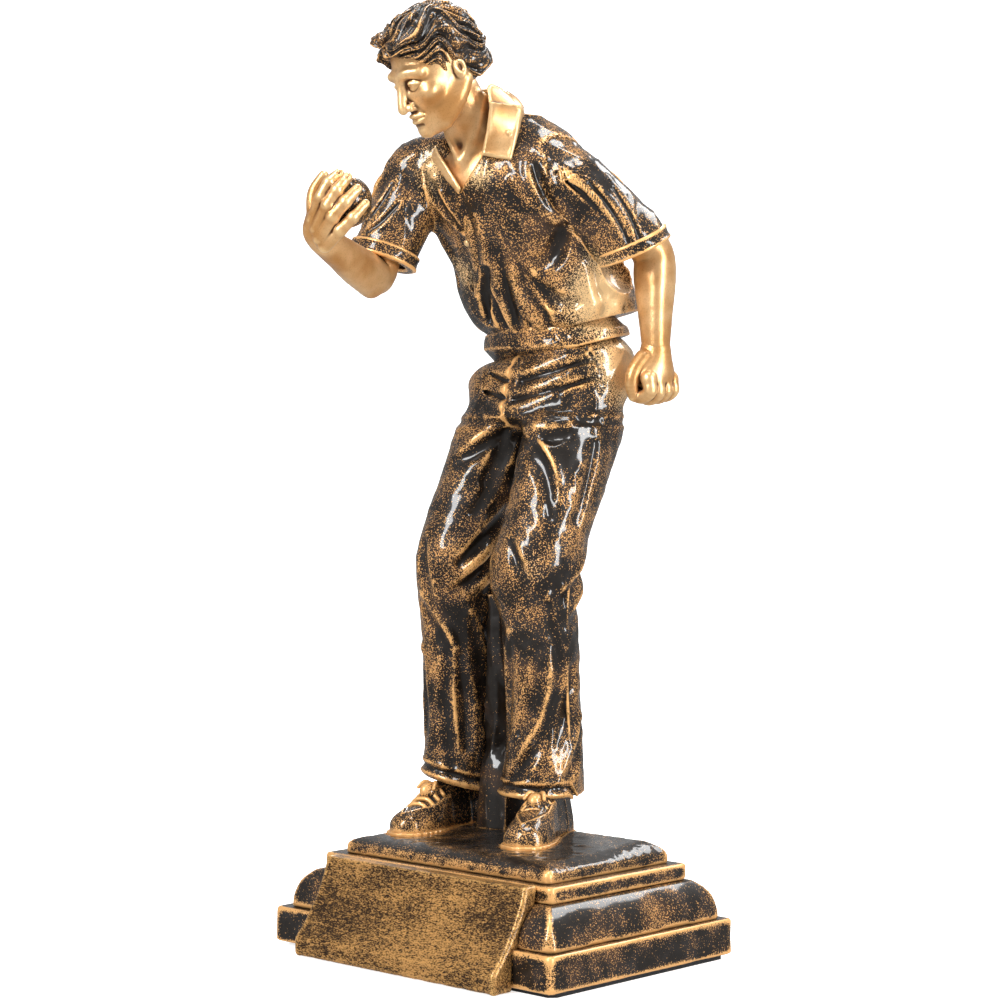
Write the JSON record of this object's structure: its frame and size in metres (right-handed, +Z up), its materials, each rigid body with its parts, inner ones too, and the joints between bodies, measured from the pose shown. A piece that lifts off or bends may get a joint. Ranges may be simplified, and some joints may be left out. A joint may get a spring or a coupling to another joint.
{
  "type": "bowling trophy",
  "caption": "Standing bowler in polo shirt and trousers, right hand raised with a hand-sized ball, on a stepped plinth with a blank sloping plaque.",
  "frame": {"origin": "centre of the plinth slab's underside, where the felt rests on the table", "axes": "+Z up along the standing figure, +X to the figure's left, -Y the front, which the figure and the plaque face"},
  "size_m": [0.093, 0.0899, 0.2359],
  "materials": {
    "patina_bronze": "cast resin, black-brown patina with dry-brushed orange gold on raised areas, clear gloss lacquer",
    "dark_patina": "cast resin, near-black brown patina with a little gold on the edges, clear gloss lacquer",
    "satin_gold": "cast resin, satin pale gold paint, darker in the hollows",
    "brushed_gold_plaque": "cast resin, fine gold and brown speckle drawn along the face, brighter at the lip",
    "steel": "plain turned steel",
    "felt": "black self-adhesive felt"
  },
  "bodies": {
    "root": {"felt_pad": "felt", "plinth_slab": "patina_bronze", "plinth_moulding": "patina_bronze", "plinth_step": "patina_bronze", "top_plate": "dark_patina", "plaque_panel": "brushed_gold_plaque", "plaque_pins": "steel", "leg_rods": "steel", "rod_washers": "steel", "rod_nuts": "steel", "support_post": "dark_patina", "right_sole": "dark_patina", "left_sole": "dark_patina", "right_shoe": "patina_bronze", "left_shoe": "patina_bronze", "right_laces": "satin_gold", "left_laces": "satin_gold", "right_trouser_half": "patina_bronze", "left_trouser_half": "patina_bronze", "waistband": "patina_bronze", "shirt_body": "patina_bronze", "right_sleeve": "patina_bronze", "left_sleeve": "patina_bronze", "right_sleeve_hem": "patina_bronze", "left_sleeve_hem": "patina_bronze", "collar": "satin_gold", "placket": "patina_bronze", "placket_button": "satin_gold", "neck": "satin_gold", "neck_pin": "steel", "head": "satin_gold", "hair": "dark_patina", "right_forearm": "satin_gold", "left_forearm": "satin_gold", "right_hand": "satin_gold", "left_hand": "satin_gold", "arm_pins": "steel", "bowling_ball": "dark_patina", "ball_pin": "steel"}
  },
  "joints": []
}
